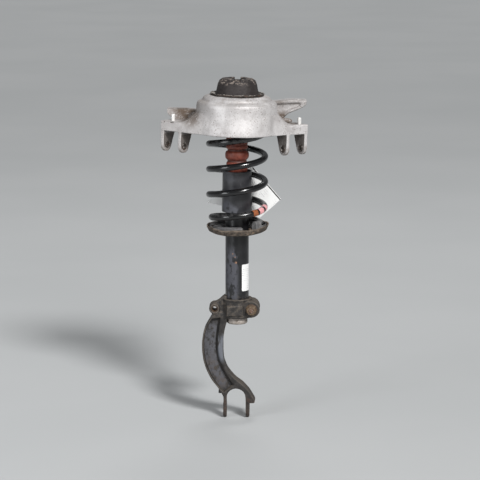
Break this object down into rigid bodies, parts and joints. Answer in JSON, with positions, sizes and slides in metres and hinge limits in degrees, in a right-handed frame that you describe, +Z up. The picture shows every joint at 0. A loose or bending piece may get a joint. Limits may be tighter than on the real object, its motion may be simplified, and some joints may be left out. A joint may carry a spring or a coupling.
{
  "type": "suspension strut",
  "caption": "Coil-over suspension strut with a cast bracket and rubber bearing on top, and a curved damper fork clamped to the lower end of its tube.",
  "frame": {"origin": "on the damper axis, at the underside of the top bearing's flange", "axes": "+Z up along the damper axis to the body, -Y towards the side with the clamp's nut, +X to the right seen from that side"},
  "size_m": [0.3195, 0.184, 0.7517],
  "materials": {
    "cast_aluminium": "sandy as-cast, dusty",
    "bright_steel": "machined, bright",
    "dark_steel": "dark steel with light rust",
    "black_rubber": "scuffed black rubber",
    "gray_rubber": "gray rubber",
    "spring_coating": "glossy black coating",
    "tube_paint": "satin black paint",
    "bump_foam": "dark red foam",
    "dark_plastic": "satin dark gray plastic",
    "perch_steel": "dusty painted steel with rust",
    "fork_iron": "black-painted casting, dusty, light rust",
    "yellow_zinc": "yellow plating gone brown",
    "white_paper": "blank white paper"
  },
  "bodies": {
    "mount": {"bearing_bracket": "cast_aluminium", "locating_pin_left": "bright_steel", "locating_pin_right": "bright_steel", "clevis_bush_left_outer": "bright_steel", "clevis_bush_left_inner": "bright_steel", "clevis_bush_right_outer": "bright_steel", "clevis_bush_right_inner": "bright_steel", "bearing_ring": "dark_steel", "bearing_rubber": "black_rubber", "upper_spring_seat": "dark_steel", "upper_spring_pad": "gray_rubber"},
    "rod": {"piston_rod": "dark_steel", "rod_nut": "bright_steel", "top_washer": "bright_steel", "bearing_sleeve": "bright_steel", "bump_stop_cup": "dark_steel", "bump_stop": "bump_foam", "piston": "yellow_zinc", "piston_ring": "dark_plastic", "piston_nut": "dark_steel", "rebound_stop": "dark_plastic"},
    "damper": {"damper_tube": "tube_paint", "tube_cap": "dark_steel", "rod_seal": "black_rubber", "rod_guide": "dark_steel", "pressure_tube": "dark_steel", "base_valve": "yellow_zinc", "base_cap": "dark_steel", "dust_tube": "dark_plastic", "spring_perch": "perch_steel", "lower_spring_pad": "gray_rubber", "coil_spring": "spring_coating", "damper_fork": "fork_iron", "pinch_bolt": "dark_steel", "pinch_nut": "yellow_zinc", "link_bush": "yellow_zinc", "tube_label": "white_paper", "shipping_tag": "white_paper"}
  },
  "joints": [
    {"name": "top_mount_swing", "type": "hinge", "parent": "mount", "child": "rod", "pos_m": [0, 0, -0.008], "axis": [1, 0, 0], "range_deg": [-2.5, 2.5], "stiffness_Nm_per_rad": 250, "deforming": ["bearing_rubber"]},
    {"name": "damper_stroke", "type": "slide", "parent": "rod", "child": "damper", "axis": [0, 0, 1], "range_m": [0, 0.078], "stiffness_N_per_m": 53000, "springref_m": -0.005, "deforming": ["coil_spring", "bump_stop"]}
  ]
}
